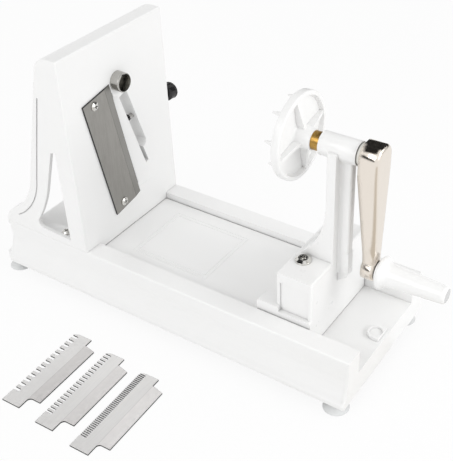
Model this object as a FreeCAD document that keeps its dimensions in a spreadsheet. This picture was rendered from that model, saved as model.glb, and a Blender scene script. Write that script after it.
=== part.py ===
import FreeCAD, Part
import math
import os
import Sketcher
from FreeCAD import Placement, Rotation, Vector

# Hand cranked spiral vegetable cutter.
# X runs along the base towards the crank, Y goes to the far side, Z is up.
# The origin is on the table under the middle of the base.

os.makedirs("parts", exist_ok=True)
doc = FreeCAD.newDocument("spiralizer")
sheet = doc.addObject("Spreadsheet::Sheet", "Sizes")


# Sizes

class Size:
    """A number of the sheet, or a sum of such numbers, with its formula."""

    def __init__(self, value, formula):
        self.value = float(value)
        self.formula = formula

    def __add__(self, other):
        other = as_size(other)
        return Size(self.value + other.value, "(%s + %s)" % (self.formula, other.formula))

    def __radd__(self, other):
        return as_size(other) + self

    def __sub__(self, other):
        other = as_size(other)
        return Size(self.value - other.value, "(%s - %s)" % (self.formula, other.formula))

    def __rsub__(self, other):
        return as_size(other) - self

    def __mul__(self, other):
        other = as_size(other)
        return Size(self.value * other.value, "(%s * %s)" % (self.formula, other.formula))

    def __rmul__(self, other):
        return as_size(other) * self

    def __truediv__(self, other):
        other = as_size(other)
        return Size(self.value / other.value, "(%s / %s)" % (self.formula, other.formula))

    def __neg__(self):
        return Size(-self.value, "(0 - %s)" % self.formula)


def as_size(number):
    if isinstance(number, Size):
        return number
    if number < 0:
        return Size(number, "(0 - %.6g)" % -number)
    return Size(number, "%.6g" % number)


def size(name, value, note):
    """Write one driving dimension to the sheet and return it."""
    row = size.row
    size.row = row + 1
    sheet.set("A%d" % row, name)
    sheet.set("B%d" % row, str(value))
    sheet.set("C%d" % row, note)
    sheet.setAlias("B%d" % row, name)
    return Size(value, "Sizes.%s" % name)


size.row = 1


def sine(angle):
    return Size(math.sin(math.radians(angle.value)), "sin(%s * 1 deg)" % angle.formula)


def cosine(angle):
    return Size(math.cos(math.radians(angle.value)), "cos(%s * 1 deg)" % angle.formula)


# Base shell
base_length = size("base_length", 320.4, "length over the rear lip and the front end wall")
base_width = size("base_width", 111.8, "width over the rail tops")
rail_top = size("rail_top", 47.4, "height of the rail tops above the table")
ground_gap = size("ground_gap", 8.2, "height of the lower lip above the table")
rail_width = size("rail_width", 14.6, "width of a rail top")
channel_floor = size("channel_floor", 27.6, "height of the channel floor")
deck_wall = size("deck_wall", 3, "wall of the rails and the channel floor")
skirt_wall = size("skirt_wall", 2.5, "wall of the outer skirt")
bead_height = size("bead_height", 3.5, "height of the bead along the rail top")
bead_step = size("bead_step", 1.2, "how far the skirt stands back under the bead")
edge_round = size("edge_round", 1, "rounding of the rail's outer edge")
flare_out = size("flare_out", 5.2, "how far the lower lip stands out")
flare_height = size("flare_height", 22, "height of the flared part of the skirt")
lip_height = size("lip_height", 3, "height of the upright lower lip")
corner_round = size("corner_round", 6, "plan radius of the base corners")
rib_wall = size("rib_wall", 2.5, "thickness of the cross ribs under the base")
rib_end_inset = size("rib_end_inset", 27, "distance of the last rib from the base end")
rib_count = 5
shelf_height = size("shelf_height", 12, "height of the underside of the foot shelves")
screw_radius = size("screw_radius", 1.9, "shank radius of the stand's and carriage's screws")
boss_radius = size("boss_radius", 4.2, "radius of the screw bosses")
screw_depth = size("screw_depth", 12, "length of the screws in their bosses")
stand_screw_front = size("stand_screw_front", 29.1, "front stand screw behind the stand's face")
stand_screw_rear = size("stand_screw_rear", 72, "rear stand screw behind the stand's face")
end_wall = size("end_wall", 2.4, "thickness of the base's front end wall")
stop_width = size("stop_width", 14, "width of the catch")
stop_wall = size("stop_wall", 2.2, "thickness of the catch's rim")
stop_height = size("stop_height", 2.8, "height of the catch above the channel floor")

# Feet
foot_radius = size("foot_radius", 9.5, "radius of a rubber foot on the table")
foot_inset_x = size("foot_inset_x", 10, "foot centre in from the rear lip and from the end wall")
foot_inset_y = size("foot_inset_y", 3.3, "foot centre in from the rail's outer edge")
foot_stem = size("foot_stem", 2.4, "radius of the foot's stem")
foot_neck = size("foot_neck", 3.6, "radius of the foot's neck")
foot_cup = size("foot_cup", 1.5, "depth of the hollow under a foot")
plug_fit = size("plug_fit", 0.1, "radial clearance of plugs and screws in their holes")

# Sliding carriage
slide_gap = size("slide_gap", 0.3, "running gap between sliding faces")
side_gap = size("side_gap", 0.7, "gap between the plate and each rail")
plate_top = size("plate_top", 41.7, "height of the carriage plate's top")
plate_wall = size("plate_wall", 3, "thickness of the carriage plate")
plate_rear = size("plate_rear", 137, "plate end behind the middle of the base")
runner_spacing = size("runner_spacing", 62, "distance over the two runners")
runner_wall = size("runner_wall", 3, "thickness of a runner")
stop_y = size("stop_y", 1.5, "catch centre in front of the middle")

# Blade stand
face_x = size("face_x", 65.3, "stand face behind the middle of the base")
stand_top = size("stand_top", 205, "height of the stand's top")
face_wall = size("face_wall", 3, "thickness of the stand's face")
cheek_wall = size("cheek_wall", 3, "thickness of the side cheeks")
flange_wall = size("flange_wall", 2.5, "thickness of the flange on the rail")
hood_depth = size("hood_depth", 12, "depth of the flat top")
rear_flange = size("rear_flange", 6, "width of the turned-in rear edge of a cheek")
cheek_slope_x = size("cheek_slope_x", 48.2, "end of the cheek's straight rear edge behind the face")
cheek_slope_z = size("cheek_slope_z", 100, "height where the cheek starts to sweep out")
cheek_toe_x = size("cheek_toe_x", 74.7, "start of the cheek's rounded toe behind the face")
cheek_toe_z = size("cheek_toe_z", 62.5, "height of the cheek's rounded toe")
cheek_sweep = size("cheek_sweep", 60, "radius of the cheek's sweep")
toe_round = size("toe_round", 26, "radius of the cheek's toe")
stand_foot = size("stand_foot", 86.7, "length of the stand on the rails")
hood_back = size("hood_back", 22.2, "depth of the stand under the rounded top")
hood_drop = size("hood_drop", 11, "drop of the top's rear slope")
arch_front = size("arch_front", 15.9, "front edge of the cheek opening behind the face")
arch_top = size("arch_top", 131, "height of the cheek opening's top")
arch_bottom = size("arch_bottom", 53, "height of the cheek opening's lower edge")
arch_rear = size("arch_rear", 48.2, "rear corner of the cheek opening behind the face")
arch_knee_x = size("arch_knee_x", 32, "knee of the cheek opening behind the face")
arch_knee_z = size("arch_knee_z", 92, "height of the cheek opening's knee")
groove_top_x = size("groove_top_x", 24.3, "top of the groove in a cheek behind the face")
groove_top_z = size("groove_top_z", 172.9, "height of the groove's top")
groove_knee_x = size("groove_knee_x", 41.7, "groove behind the face where the cheek sweeps out")
groove_toe_x = size("groove_toe_x", 71.2, "lower end of the groove behind the face")
groove_toe_z = size("groove_toe_z", 57.7, "height of the groove's lower end")
groove_width = size("groove_width", 1.5, "width of the groove")
groove_depth = size("groove_depth", 1, "depth of the groove")
edge_soft = size("edge_soft", 1.2, "rounding of the stand's outer edges")
pad_depth = size("pad_depth", 4, "extra thickness of the face behind the main blade")
slot_wall = size("slot_wall", 2.2, "thickness of the comb slot's side walls")
hub_depth = size("hub_depth", 14, "depth of the core tube's hub behind the face")

# Cutting parts
axis_height = size("axis_height", 168.4, "height of the crank axis and the core tube")
blade_length = size("blade_length", 104, "length of the main blade")
blade_width = size("blade_width", 30.2, "width of the main blade")
blade_thick = size("blade_thick", 1.2, "thickness of the main blade")
blade_turn = size("blade_turn", 10.5, "lean of the main blade in degrees")
blade_y = size("blade_y", -14.1, "centre of the main blade across the base")
blade_z = size("blade_z", 115.2, "height of the main blade's centre")
blade_bevel = size("blade_bevel", 6.3, "width of the ground bevel")
blade_screw_inset = size("blade_screw_inset", 5.8, "blade screw in from the end")
throat_width = size("throat_width", 5, "width of the throat behind the cutting edge")
ramp_depth = size("ramp_depth", 1.8, "depth of the ramp at the cutting edge")
slot_turn = size("slot_turn", 17.5, "lean of the comb slot in degrees")
slot_y = size("slot_y", 12.8, "centre of the comb slot across the base")
slot_z = size("slot_z", 129.1, "height of the comb slot's centre")
slot_width = size("slot_width", 8.8, "width of the comb slot")
slot_length = size("slot_length", 56, "length of the comb slot")
slit_width = size("slit_width", 3.4, "width of the slit below the slot")
slit_length = size("slit_length", 14, "length of the slit below the slot")
slot_depth = size("slot_depth", 16, "depth of the slot's side walls behind the face")
core_radius = size("core_radius", 7.3, "outer radius of the core tube")
core_wall = size("core_wall", 0.8, "wall of the core tube")
core_reach = size("core_reach", 7.9, "how far the core tube stands out")
blade_screw_radius = size("blade_screw_radius", 1.5, "shank radius of the blade screws")
blade_screw_side = size("blade_screw_side", 4.4, "blade screws beside the blade's middle line")
blade_head = size("blade_head", 3.4, "head radius of the blade screws")
core_back = size("core_back", 20, "length of the core tube behind the face")

# Comb clamp
clamp_x = size("clamp_x", 5.3, "clamp screw behind the stand's face")
clamp_z = size("clamp_z", 130.5, "height of the clamp screw")
clamp_radius = size("clamp_radius", 2, "radius of the clamp screw")
clamp_open = size("clamp_open", 3, "how far the clamp pad draws back")
knob_radius = size("knob_radius", 7, "radius of the clamp knob")
knob_length = size("knob_length", 9, "length of the clamp knob")
insert_radius = size("insert_radius", 3.5, "outer radius of the threaded insert")
pad_start = size("pad_start", 10.7, "clamp pad's working face across the base")
pad_thick = size("pad_thick", 1.9, "thickness of the clamp pad")
pad_radius = size("pad_radius", 2.5, "radius of the clamp pad")

# Tower
tower_x = size("tower_x", 93.5, "left face of the tower block")
tower_width = size("tower_width", 76, "width of the tower block")
tower_block_top = size("tower_block_top", 83.5, "height of the tower block")
tower_block_length = size("tower_block_length", 28, "length of the block's top")
ledge_reach = size("ledge_reach", 14.5, "how far the side ledges stand in front of the block")
ledge_height = size("ledge_height", 13.8, "height of the side ledges")
ledge_width = size("ledge_width", 10, "width of a side ledge")
column_x = size("column_x", 114.5, "left face of the column")
column_flange = size("column_flange", 7, "thickness of the column's flange")
column_width = size("column_width", 21, "width of the column's flange")
column_web = size("column_web", 6.6, "thickness of the column's web")
column_depth = size("column_depth", 15, "depth of the column over flange and web")
flare_reach = size("flare_reach", 18, "reach of the column's sweep onto the block")
flare_rise = size("flare_rise", 40, "height of the column's sweep")
bearing_radius = size("bearing_radius", 8.15, "outer radius of the bearing tube")
bearing_start = size("bearing_start", 106.4, "left end of the bearing tube")
bearing_length = size("bearing_length", 26.8, "length of the bearing tube")
flat_round = size("flat_round", 1.5, "rounding of the tower block's edges")
terrace = size("terrace", 3, "width of the step along the block's top edges")
terrace_drop = size("terrace_drop", 1.6, "drop of that step")
panel_inset = size("panel_inset", 3, "sunk panel in from the block's edges")
panel_drop = size("panel_drop", 8, "top of the sunk panel under the block's top")
panel_depth = size("panel_depth", 1.2, "depth of the sunk panel")
web_drop = size("web_drop", 13.5, "how far the column's web reaches down the block's outer face")
base_ledge = size("base_ledge", 9.8, "height of the ledge along the block's foot")
tower_screw_x = size("tower_screw_x", 9.2, "tower screws in from the block's left face")
tower_screw_y = size("tower_screw_y", 17.5, "tower screws beside the middle")
tower_head = size("tower_head", 5.8, "head radius of the tower screws")
nut_height = size("nut_height", 3.2, "height of the nuts under the plate")

# Crank
shaft_radius = size("shaft_radius", 4, "radius of the crank shaft")
running_fit = size("running_fit", 0.06, "radial clearance of turning parts")
bushing_radius = size("bushing_radius", 5.6, "bore of the bearing tube")
bushing_length = size("bushing_length", 8, "length of one bushing")
collar_radius = size("collar_radius", 6.4, "radius of the knurled collar")
collar_length = size("collar_length", 5.9, "length of the knurled collar")
wheel_x = size("wheel_x", 85.5, "left face of the spiked wheel")
wheel_radius = size("wheel_radius", 30.3, "radius of the spiked wheel")
wheel_rim = size("wheel_rim", 6, "thickness of the wheel's rim")
wheel_rim_width = size("wheel_rim_width", 3, "radial width of the rim")
wheel_web = size("wheel_web", 3, "thickness of the wheel's web")
hub_radius = size("hub_radius", 8, "radius of the wheel's hub")
hub_length = size("hub_length", 14.5, "length of the wheel's hub")
spike_circle = size("spike_circle", 24.5, "radius of the circle of spikes")
spike_length = size("spike_length", 8, "length of a spike")
spike_radius = size("spike_radius", 2.3, "radius of a spike at its root")
spike_count = 8
crank_radius = size("crank_radius", 86, "distance from the shaft to the handle")
arm_x = size("arm_x", 136.5, "left face of the crank arm's head")
arm_depth = size("arm_depth", 13.5, "thickness of the crank arm's head")
arm_tip_depth = size("arm_tip_depth", 9.2, "thickness of the crank arm at the handle")
arm_head = size("arm_head", 10.4, "half width of the crank arm's head")
arm_neck = size("arm_neck", 5.2, "half width of the crank arm above the handle")
arm_eye = size("arm_eye", 8, "radius of the eye at the handle")
arm_bore = size("arm_bore", 10, "depth of the shaft's bore in the crank arm")
wheel_rib = size("wheel_rib", 2.5, "thickness of the wheel's ribs")
wheel_turn = size("wheel_turn", 12, "turn of the wheel at rest in degrees")
arm_top = size("arm_top", 9.6, "top of the crank arm above the shaft")
arm_round = size("arm_round", 2.4, "rounding of the crank arm's outer edges")

# Handle
spindle_radius = size("spindle_radius", 3, "radius of the handle's spindle")
grip_gap = size("grip_gap", 0.5, "gap between the crank arm and the grip")
grip_length = size("grip_length", 49.5, "length of the grip")
grip_flange = size("grip_flange", 11.7, "radius of the grip's flange")
grip_root = size("grip_root", 8.4, "radius of the grip near its flange")
grip_end = size("grip_end", 6.3, "radius of the grip near its end")
cap_depth = size("cap_depth", 3, "depth of the grip's end cap")
head_depth = size("head_depth", 2, "thickness of the spindle's heads")

# Comb blades lying beside the base
comb_length = size("comb_length", 77, "length of a comb blade")
comb_strip = size("comb_strip", 15.7, "width of the toothed strip")
comb_body = size("comb_body", 9.8, "width of the back beyond the strip")
comb_body_length = size("comb_body_length", 57.5, "length of the wide back")
comb_tail = size("comb_tail", 10.5, "tail beyond the wide back")
comb_thick = size("comb_thick", 1, "thickness of a comb blade")
comb_row = size("comb_row", 66, "length of the row of teeth")
comb_row_start = size("comb_row_start", 9.8, "row of teeth from the tail end")
tooth_depth = size("tooth_depth", 5.4, "depth of the gaps between the teeth")
comb_x = size("comb_x", -49.5, "corner of the coarse comb blade along the base")
comb_y = size("comb_y", -170.4, "corner of the coarse comb blade across the base")
comb_turn = size("comb_turn", 1.8, "turn of the comb blades in degrees")
comb_pitch = size("comb_pitch", 34.2, "spacing of the comb blades")
comb_shift = size("comb_shift", -2.7, "each comb blade further forward than the last")

doc.recompute()


# Building helpers

nodes = []


def named_body(label):
    body = doc.addObject("PartDesign::Body", label)
    body.Label = label
    nodes.append(body)
    return body


def origin_part(body, role):
    for part in body.Origin.OriginFeatures:
        if part.Role == role:
            return part
    raise ValueError(role)


def tie(thing, prop, number):
    """Bind a property of an object to a size."""
    number = as_size(number)
    thing.setExpression(prop, number.formula)


class Outline:
    """A sketch on one of the body's own planes, every point tied to sizes."""

    def __init__(self, body, role, offset=0, at=(0, 0), turn=0):
        self.sketch = body.newObject("Sketcher::SketchObject", body.Label + "_outline")
        self.sketch.AttachmentSupport = [(origin_part(body, role), "")]
        self.sketch.MapMode = "FlatFace"
        offset = as_size(offset)
        move_u = as_size(at[0])
        move_v = as_size(at[1])
        turn = as_size(turn)
        self.sketch.AttachmentOffset = Placement(
            Vector(move_u.value, move_v.value, offset.value),
            Rotation(Vector(0, 0, 1), turn.value))
        tie(self.sketch, "AttachmentOffset.Base.x", move_u)
        tie(self.sketch, "AttachmentOffset.Base.y", move_v)
        tie(self.sketch, "AttachmentOffset.Base.z", offset)
        if turn.value:
            tie(self.sketch, "AttachmentOffset.Rotation.Angle", turn)
        self.bound = []

    def hold(self, kind, geometry, point, number):
        number = as_size(number)
        if point is None:
            index = self.sketch.addConstraint(Sketcher.Constraint(kind, geometry, number.value))
        else:
            index = self.sketch.addConstraint(
                Sketcher.Constraint(kind, geometry, point, number.value))
        self.bound.append((index, number))

    def finish(self):
        for index, number in self.bound:
            self.sketch.setExpression("Constraints[%d]" % index, number.formula)
        return self.sketch

    def circle(self, u, v, radius):
        u, v, radius = as_size(u), as_size(v), as_size(radius)
        index = self.sketch.addGeometry(
            Part.Circle(Vector(u.value, v.value, 0), Vector(0, 0, 1), radius.value), False)
        self.hold("DistanceX", index, 3, u)
        self.hold("DistanceY", index, 3, v)
        self.hold("Radius", index, None, radius)
        return self

    def path(self, points, closed=True):
        """Points are (u, v) or (u, v, bulge radius of the arc that ends there).

        A positive radius turns left, a negative one turns right.
        """
        count = len(points)
        corners = [(as_size(p[0]), as_size(p[1])) for p in points]
        steps = range(count) if closed else range(count - 1)
        edges = []
        for i in steps:
            a = corners[i]
            b = corners[(i + 1) % count]
            after = points[(i + 1) % count]
            start = Vector(a[0].value, a[1].value, 0)
            end = Vector(b[0].value, b[1].value, 0)
            if len(after) == 3:
                radius = as_size(after[2])
                middle = arc_middle(start, end, radius.value)
                index = self.sketch.addGeometry(Part.Arc(start, middle, end), False)
                first, last = (1, 2) if radius.value > 0 else (2, 1)
                edges.append((index, first, last, abs_size(radius)))
            else:
                index = self.sketch.addGeometry(Part.LineSegment(start, end), False)
                edges.append((index, 1, 2, None))
        total = len(edges)
        joins = range(total) if closed else range(total - 1)
        for i in joins:
            here = edges[i]
            there = edges[(i + 1) % total]
            self.sketch.addConstraint(
                Sketcher.Constraint("Coincident", here[0], here[2], there[0], there[1]))
        for i, edge in enumerate(edges):
            self.hold("DistanceX", edge[0], edge[1], corners[i][0])
            self.hold("DistanceY", edge[0], edge[1], corners[i][1])
            if edge[3] is not None:
                self.hold("Radius", edge[0], None, edge[3])
        if not closed:
            edge = edges[-1]
            self.hold("DistanceX", edge[0], edge[2], corners[-1][0])
            self.hold("DistanceY", edge[0], edge[2], corners[-1][1])
        return self

    def box(self, u0, u1, v0, v1):
        return self.path([(u0, v0), (u1, v0), (u1, v1), (u0, v1)])


def abs_size(number):
    return -number if number.value < 0 else number


def arc_middle(start, end, radius):
    """Middle point of the short arc from start to end; a positive radius turns left."""
    chord = end - start
    half = chord.Length / 2.0
    reach = abs(radius)
    sagitta = reach - math.sqrt(max(reach * reach - half * half, 0.0))
    side = Vector(chord.y, -chord.x, 0)
    side.normalize()
    if radius < 0:
        side = side * -1
    return (start + end) * 0.5 + side * sagitta


def pad(body, outline, length, both=False, back=False):
    feature = body.newObject("PartDesign::Pad", body.Label + "_pad")
    feature.Profile = outline.finish()
    if both:
        feature.SideType = "Symmetric"
    feature.Reversed = back
    tie(feature, "Length", length)
    return feature


def pocket(body, outline, length, both=False, back=False):
    feature = body.newObject("PartDesign::Pocket", body.Label + "_pocket")
    feature.Profile = outline.finish()
    if both:
        feature.SideType = "Symmetric"
    feature.Reversed = back
    tie(feature, "Length", length)
    return feature


def revolve(body, outline, role="X_Axis", cut=False):
    kind = "PartDesign::Groove" if cut else "PartDesign::Revolution"
    feature = body.newObject(kind, body.Label + "_turned")
    feature.Profile = outline.finish()
    feature.ReferenceAxis = (origin_part(body, role), [""])
    feature.Angle = 360
    return feature


def mirror(body, features, role):
    feature = body.newObject("PartDesign::Mirrored", body.Label + "_mirror")
    feature.Originals = features
    feature.MirrorPlane = (origin_part(body, role), [""])
    body.Tip = feature
    return feature


def row_of(body, features, role, length, count):
    feature = body.newObject("PartDesign::LinearPattern", body.Label + "_row")
    feature.Originals = features
    feature.Direction = (origin_part(body, role), [""])
    tie(feature, "Length", length)
    feature.Occurrences = count
    body.Tip = feature
    return feature


def ring_of(body, features, role, count):
    feature = body.newObject("PartDesign::PolarPattern", body.Label + "_ring")
    feature.Originals = features
    feature.Axis = (origin_part(body, role), [""])
    feature.Angle = 360
    feature.Occurrences = count
    body.Tip = feature
    return feature


def edges_where(shape, test):
    names = []
    for number, edge in enumerate(shape.Edges, 1):
        if test(edge):
            names.append("Edge%d" % number)
    return names


def along(edge, direction):
    """True for a straight edge that runs along a direction."""
    if edge.Curve.TypeId != "Part::GeomLine":
        return False
    return abs(abs(edge.Curve.Direction.dot(direction)) - 1) < 1e-6


def fillet(body, radius, test, chamfer=False):
    doc.recompute()
    base = body.Tip
    names = edges_where(base.Shape, test)
    if not names:
        raise ValueError("no edge to round on " + body.Label)
    kind = "PartDesign::Chamfer" if chamfer else "PartDesign::Fillet"
    feature = body.newObject(kind, body.Label + "_round")
    feature.Base = (base, names)
    tie(feature, "Size" if chamfer else "Radius", radius)
    doc.recompute()
    return feature


def place(thing, x=0, y=0, z=0, axis=None, angle=0):
    x, y, z, angle = as_size(x), as_size(y), as_size(z), as_size(angle)
    turn = Rotation(axis, angle.value) if axis else Rotation()
    thing.Placement = Placement(Vector(x.value, y.value, z.value), turn)
    tie(thing, "Placement.Base.x", x)
    tie(thing, "Placement.Base.y", y)
    tie(thing, "Placement.Base.z", z)
    if axis and angle.formula.find("Sizes.") >= 0:
        tie(thing, "Placement.Rotation.Angle", angle)
    return thing


AXES = {"x": (Vector(0, 1, 0), 90), "y": (Vector(1, 0, 0), -90), "z": None}


def rod(name, axis, start, length, radius, u=0, v=0):
    """A cylinder along x, y or z; u and v are its other two coordinates in order."""
    thing = doc.addObject("Part::Cylinder", name)
    tie(thing, "Radius", radius)
    tie(thing, "Height", length)
    spot = {"x": (start, u, v), "y": (u, start, v), "z": (u, v, start)}[axis]
    turn = AXES[axis]
    if turn:
        place(thing, spot[0], spot[1], spot[2], turn[0], turn[1])
    else:
        place(thing, spot[0], spot[1], spot[2])
    return thing


def cone(name, axis, start, length, radius_start, radius_end, u=0, v=0):
    thing = doc.addObject("Part::Cone", name)
    tie(thing, "Radius1", radius_start)
    tie(thing, "Radius2", radius_end)
    tie(thing, "Height", length)
    spot = {"x": (start, u, v), "y": (u, start, v), "z": (u, v, start)}[axis]
    turn = AXES[axis]
    if turn:
        place(thing, spot[0], spot[1], spot[2], turn[0], turn[1])
    else:
        place(thing, spot[0], spot[1], spot[2])
    return thing


def block(name, x0, x1, y0, y1, z0, z1):
    x0, x1, y0, y1, z0, z1 = [as_size(v) for v in (x0, x1, y0, y1, z0, z1)]
    thing = doc.addObject("Part::Box", name)
    tie(thing, "Length", x1 - x0)
    tie(thing, "Width", y1 - y0)
    tie(thing, "Height", z1 - z0)
    place(thing, x0, y0, z0)
    return thing


def cut(name, base, *tools):
    result = base
    for tool in tools:
        step = doc.addObject("Part::Cut", name)
        step.Base = result
        step.Tool = tool
        result = step
    return result


def fuse(name, *shapes):
    result = shapes[0]
    for shape in shapes[1:]:
        step = doc.addObject("Part::Fuse", name)
        step.Base = result
        step.Tool = shape
        step.Refine = True
        result = step
    return result


def group(name, things):
    """Several separate solids of one node."""
    step = doc.addObject("Part::Compound", name)
    step.Links = things
    return step


def node(label, thing):
    """Give a finished piece its name; the pieces it is made from step aside."""
    for other in doc.Objects:
        if other.Label == label:
            other.Label = label + "_piece"
    thing.Label = label
    nodes.append(thing)
    return thing


X_DIR = Vector(1, 0, 0)
Y_DIR = Vector(0, 1, 0)
Z_DIR = Vector(0, 0, 1)


# Base shell

half_length = base_length / 2
half_width = base_width / 2
half_channel = half_width - rail_width
inner_step = bead_step + skirt_wall

base = named_body("base_body")
deck_edge = half_width - skirt_wall / 2 - bead_step / 2
deck = Outline(base, "YZ_Plane", offset=-(half_length - flare_out - bead_step - skirt_wall / 2))
deck.path([
    (-deck_edge, rail_top),
    (-half_channel, rail_top),
    (-half_channel, channel_floor),
    (half_channel, channel_floor),
    (half_channel, rail_top),
    (deck_edge, rail_top),
    (deck_edge, rail_top - deck_wall),
    (half_channel + deck_wall, rail_top - deck_wall),
    (half_channel + deck_wall, channel_floor - deck_wall),
    (-half_channel - deck_wall, channel_floor - deck_wall),
    (-half_channel - deck_wall, rail_top - deck_wall),
    (-deck_edge, rail_top - deck_wall),
])
rails_rear = half_length - flare_out
deck_start = rails_rear - bead_step - skirt_wall / 2
deck_outline_length = half_length + deck_start - end_wall / 2
pad(base, deck, deck_outline_length)

# The skirt is one section swept round the sides and the rear: bead, recess, flare and lip.
lip_top = ground_gap + lip_height
flare_top = lip_top + flare_height
flare_run = flare_out + bead_step
flare_round = (flare_run * flare_run + flare_height * flare_height) / (2 * flare_run)
end_flare_round = (flare_out * flare_out + flare_height * flare_height) / (2 * flare_out)
front = -half_width
skirt_end = half_length - end_wall / 2
spine = Outline(base, "XY_Plane")
spine.path([
    (skirt_end, front),
    (corner_round - rails_rear, front),
    (-rails_rear, front + corner_round, -corner_round),
    (-rails_rear, half_width - corner_round),
    (corner_round - rails_rear, half_width, -corner_round),
    (skirt_end, half_width),
], closed=False)
section = Outline(base, "YZ_Plane", offset=skirt_end)
section.path([
    (front + edge_round, rail_top),
    (front, rail_top - edge_round, edge_round),
    (front, rail_top - bead_height),
    (front + bead_step, rail_top - bead_height - bead_step / 2),
    (front + bead_step, flare_top),
    (front - flare_out, lip_top, -flare_round),
    (front - flare_out, ground_gap),
    (front - flare_out + skirt_wall, ground_gap),
    (front - flare_out + skirt_wall, lip_top),
    (front + inner_step, flare_top, flare_round),
    (front + inner_step, rail_top),
])
skirt = base.newObject("PartDesign::AdditivePipe", "skirt")
skirt.Profile = section.finish()
skirt.Spine = (spine.finish(), [])
doc.recompute()

# Front end wall over the skirt's whole outline
end_plate = Outline(base, "YZ_Plane", offset=half_length - end_wall)
end_plate.path([
    (front + edge_round, rail_top),
    (front, rail_top - edge_round, edge_round),
    (front, flare_top),
    (front - flare_out, lip_top, -end_flare_round),
    (front - flare_out, ground_gap),
    (half_width + flare_out, ground_gap),
    (half_width + flare_out, lip_top),
    (half_width, flare_top, -end_flare_round),
    (half_width, rail_top - edge_round),
    (half_width - edge_round, rail_top, edge_round),
])
pad(base, end_plate, end_wall)
doc.recompute()

# The ends are open between the rails down to the channel floor.
window = Outline(base, "YZ_Plane")
window.box(-half_channel, half_channel, channel_floor, rail_top + 5)
pocket(base, window, base_length + 4 * flare_out, both=True)

# Cross ribs
rib_reach = deck_edge
rib_x = rails_rear - rib_end_inset
rib = Outline(base, "YZ_Plane", offset=-rib_x)
rib.path([
    (-rib_reach, shelf_height),
    (rib_reach, shelf_height),
    (rib_reach, rail_top - deck_wall / 2),
    (half_channel + deck_wall / 2, rail_top - deck_wall / 2),
    (half_channel + deck_wall / 2, channel_floor - deck_wall / 2),
    (-half_channel - deck_wall / 2, channel_floor - deck_wall / 2),
    (-half_channel - deck_wall / 2, rail_top - deck_wall / 2),
    (-rib_reach, rail_top - deck_wall / 2),
])
rib_feature = pad(base, rib, rib_wall)
row_of(base, [rib_feature], "X_Axis", 2 * rib_x - rib_wall, rib_count)

# Shelves that hold the feet
foot_x = half_length - foot_inset_x
foot_y = half_width - foot_inset_y
shelf = Outline(base, "XY_Plane", offset=shelf_height)
shelf.box(rib_x - rib_wall, half_length - end_wall / 2, half_channel - 2, half_width + 2)
shelf_feature = pad(base, shelf, deck_wall)
mirror(base, [shelf_feature], "XZ_Plane")
shelf_rear = Outline(base, "XY_Plane", offset=shelf_height)
shelf_rear.box(-rails_rear - 2, rib_wall - rib_x, half_channel - 2, half_width + 2)
shelf_rear_feature = pad(base, shelf_rear, deck_wall)
mirror(base, [shelf_rear_feature], "XZ_Plane")
holes = Outline(base, "XY_Plane", offset=shelf_height - 1)
for side_x in (-1, 1):
    for side_y in (-1, 1):
        holes.circle(foot_x * side_x, foot_y * side_y, foot_stem + plug_fit)
pocket(base, holes, deck_wall + 2, back=True)

# Screw bosses under the rails for the stand
stand_screw_y = (half_channel + half_width - cheek_wall) / 2
bosses = Outline(base, "XY_Plane", offset=rail_top - screw_depth - 1)
pilots = Outline(base, "XY_Plane", offset=rail_top - screw_depth + 1)
for screw_x in (-face_x - stand_screw_front, -face_x - stand_screw_rear):
    for side_y in (-1, 1):
        bosses.circle(screw_x, stand_screw_y * side_y, boss_radius)
        pilots.circle(screw_x, stand_screw_y * side_y, screw_radius + plug_fit)
pad(base, bosses, screw_depth)
doc.recompute()
pocket(base, pilots, screw_depth, back=True)
doc.recompute()


# Rubber feet

def foot_solid(name, side_x, side_y):
    seat = as_size(shelf_height)
    cup = cone(name, "z", 0, ground_gap * 0.6, foot_radius, foot_neck)
    neck = rod(name, "z", ground_gap * 0.6, seat - ground_gap * 0.6, foot_neck)
    stem = rod(name, "z", seat - 1, deck_wall + 2, foot_stem)
    head = cone(name, "z", seat + deck_wall, 3, foot_stem + 0.8, foot_stem - 1)
    hollow = cone(name, "z", -0.01, foot_cup, foot_radius - 2, foot_stem)
    whole = cut(name, fuse(name, cup, neck, stem, head), hollow)
    place(whole, foot_x * side_x, foot_y * side_y, 0)
    return whole


feet = [foot_solid("foot", side_x, side_y) for side_x in (-1, 1) for side_y in (-1, 1)]
node("rubber_feet", group("rubber_feet", feet))


# Catch at the channel's end: a half round rim with its flat side on the end wall

stop = named_body("carriage_catch")
stop_half = stop_width / 2
stop_x = half_length - end_wall
stop_outline = Outline(stop, "XY_Plane", offset=channel_floor)
stop_outline.path([
    (stop_x, -stop_y - stop_half),
    (stop_x, stop_half - stop_y),
    (stop_x - stop_half + stop_wall, stop_half - stop_y),
    (stop_x - stop_half + stop_wall, -stop_y - stop_half, stop_half * 1.01),
])
pad(stop, stop_outline, stop_height)
dish = Outline(stop, "XY_Plane", offset=channel_floor + stop_height + 1)
dish.circle(stop_x - stop_half + stop_wall, -stop_y, stop_half - stop_wall)
pocket(stop, dish, 1 + stop_height - stop_wall / 2)
doc.recompute()


# Carriage plate

plate_half = half_channel - side_gap
plate = named_body("carriage_plate")
plate_end = tower_x + tower_block_length
sheet_outline = Outline(plate, "XY_Plane", offset=plate_top - plate_wall)
sheet_outline.box(-plate_rear, plate_end, -plate_half, plate_half)
pad(plate, sheet_outline, plate_wall)
runner_foot = channel_floor + slide_gap
runner = Outline(plate, "YZ_Plane", offset=-plate_rear + 4)
runner.box(runner_spacing / 2 - runner_wall, runner_spacing / 2, runner_foot, plate_top - plate_wall / 2)
runner_feature = pad(plate, runner, plate_rear + plate_end - 4 - runner_wall / 2)
mirror(plate, [runner_feature], "XZ_Plane")
outer_wall = Outline(plate, "YZ_Plane", offset=plate_end - runner_wall)
outer_wall.box(-plate_half, plate_half, runner_foot, plate_top - plate_wall / 2)
pad(plate, outer_wall, runner_wall)
doc.recompute()


# Blade stand


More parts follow.
